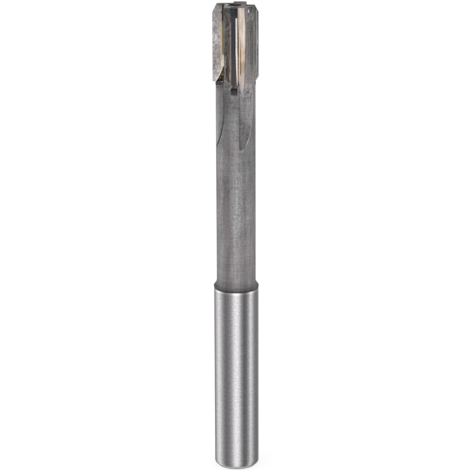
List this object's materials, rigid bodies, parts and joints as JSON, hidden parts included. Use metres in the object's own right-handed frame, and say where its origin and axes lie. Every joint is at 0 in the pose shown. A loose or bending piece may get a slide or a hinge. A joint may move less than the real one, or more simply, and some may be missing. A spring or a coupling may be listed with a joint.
{
  "type": "carbide reamer",
  "caption": "Straight-fluted machine reamer with brazed carbide tips on a fluted head, a reduced neck and a plain round shank.",
  "frame": {"origin": "centre of the flat end of the shank, on the tool's axis", "axes": "+Z along the tool's axis from the shank end to the cutting end; one tooth faces -Y and cuts towards +X"},
  "size_m": [0.0122, 0.0122, 0.128],
  "materials": {
    "steel_body": "bright fine-ground shank, dark satin heat-treated skin on collar, neck and head",
    "carbide": "dark sintered carbide, fine-ground lands with a bright margin",
    "braze": "copper and pale gold braze, satin, with dark flux stains"
  },
  "bodies": {
    "root": {"body": "steel_body", "carbide_tip_1": "carbide", "carbide_tip_2": "carbide", "carbide_tip_3": "carbide", "carbide_tip_4": "carbide", "braze_1": "braze", "braze_2": "braze", "braze_3": "braze", "braze_4": "braze"}
  },
  "joints": []
}
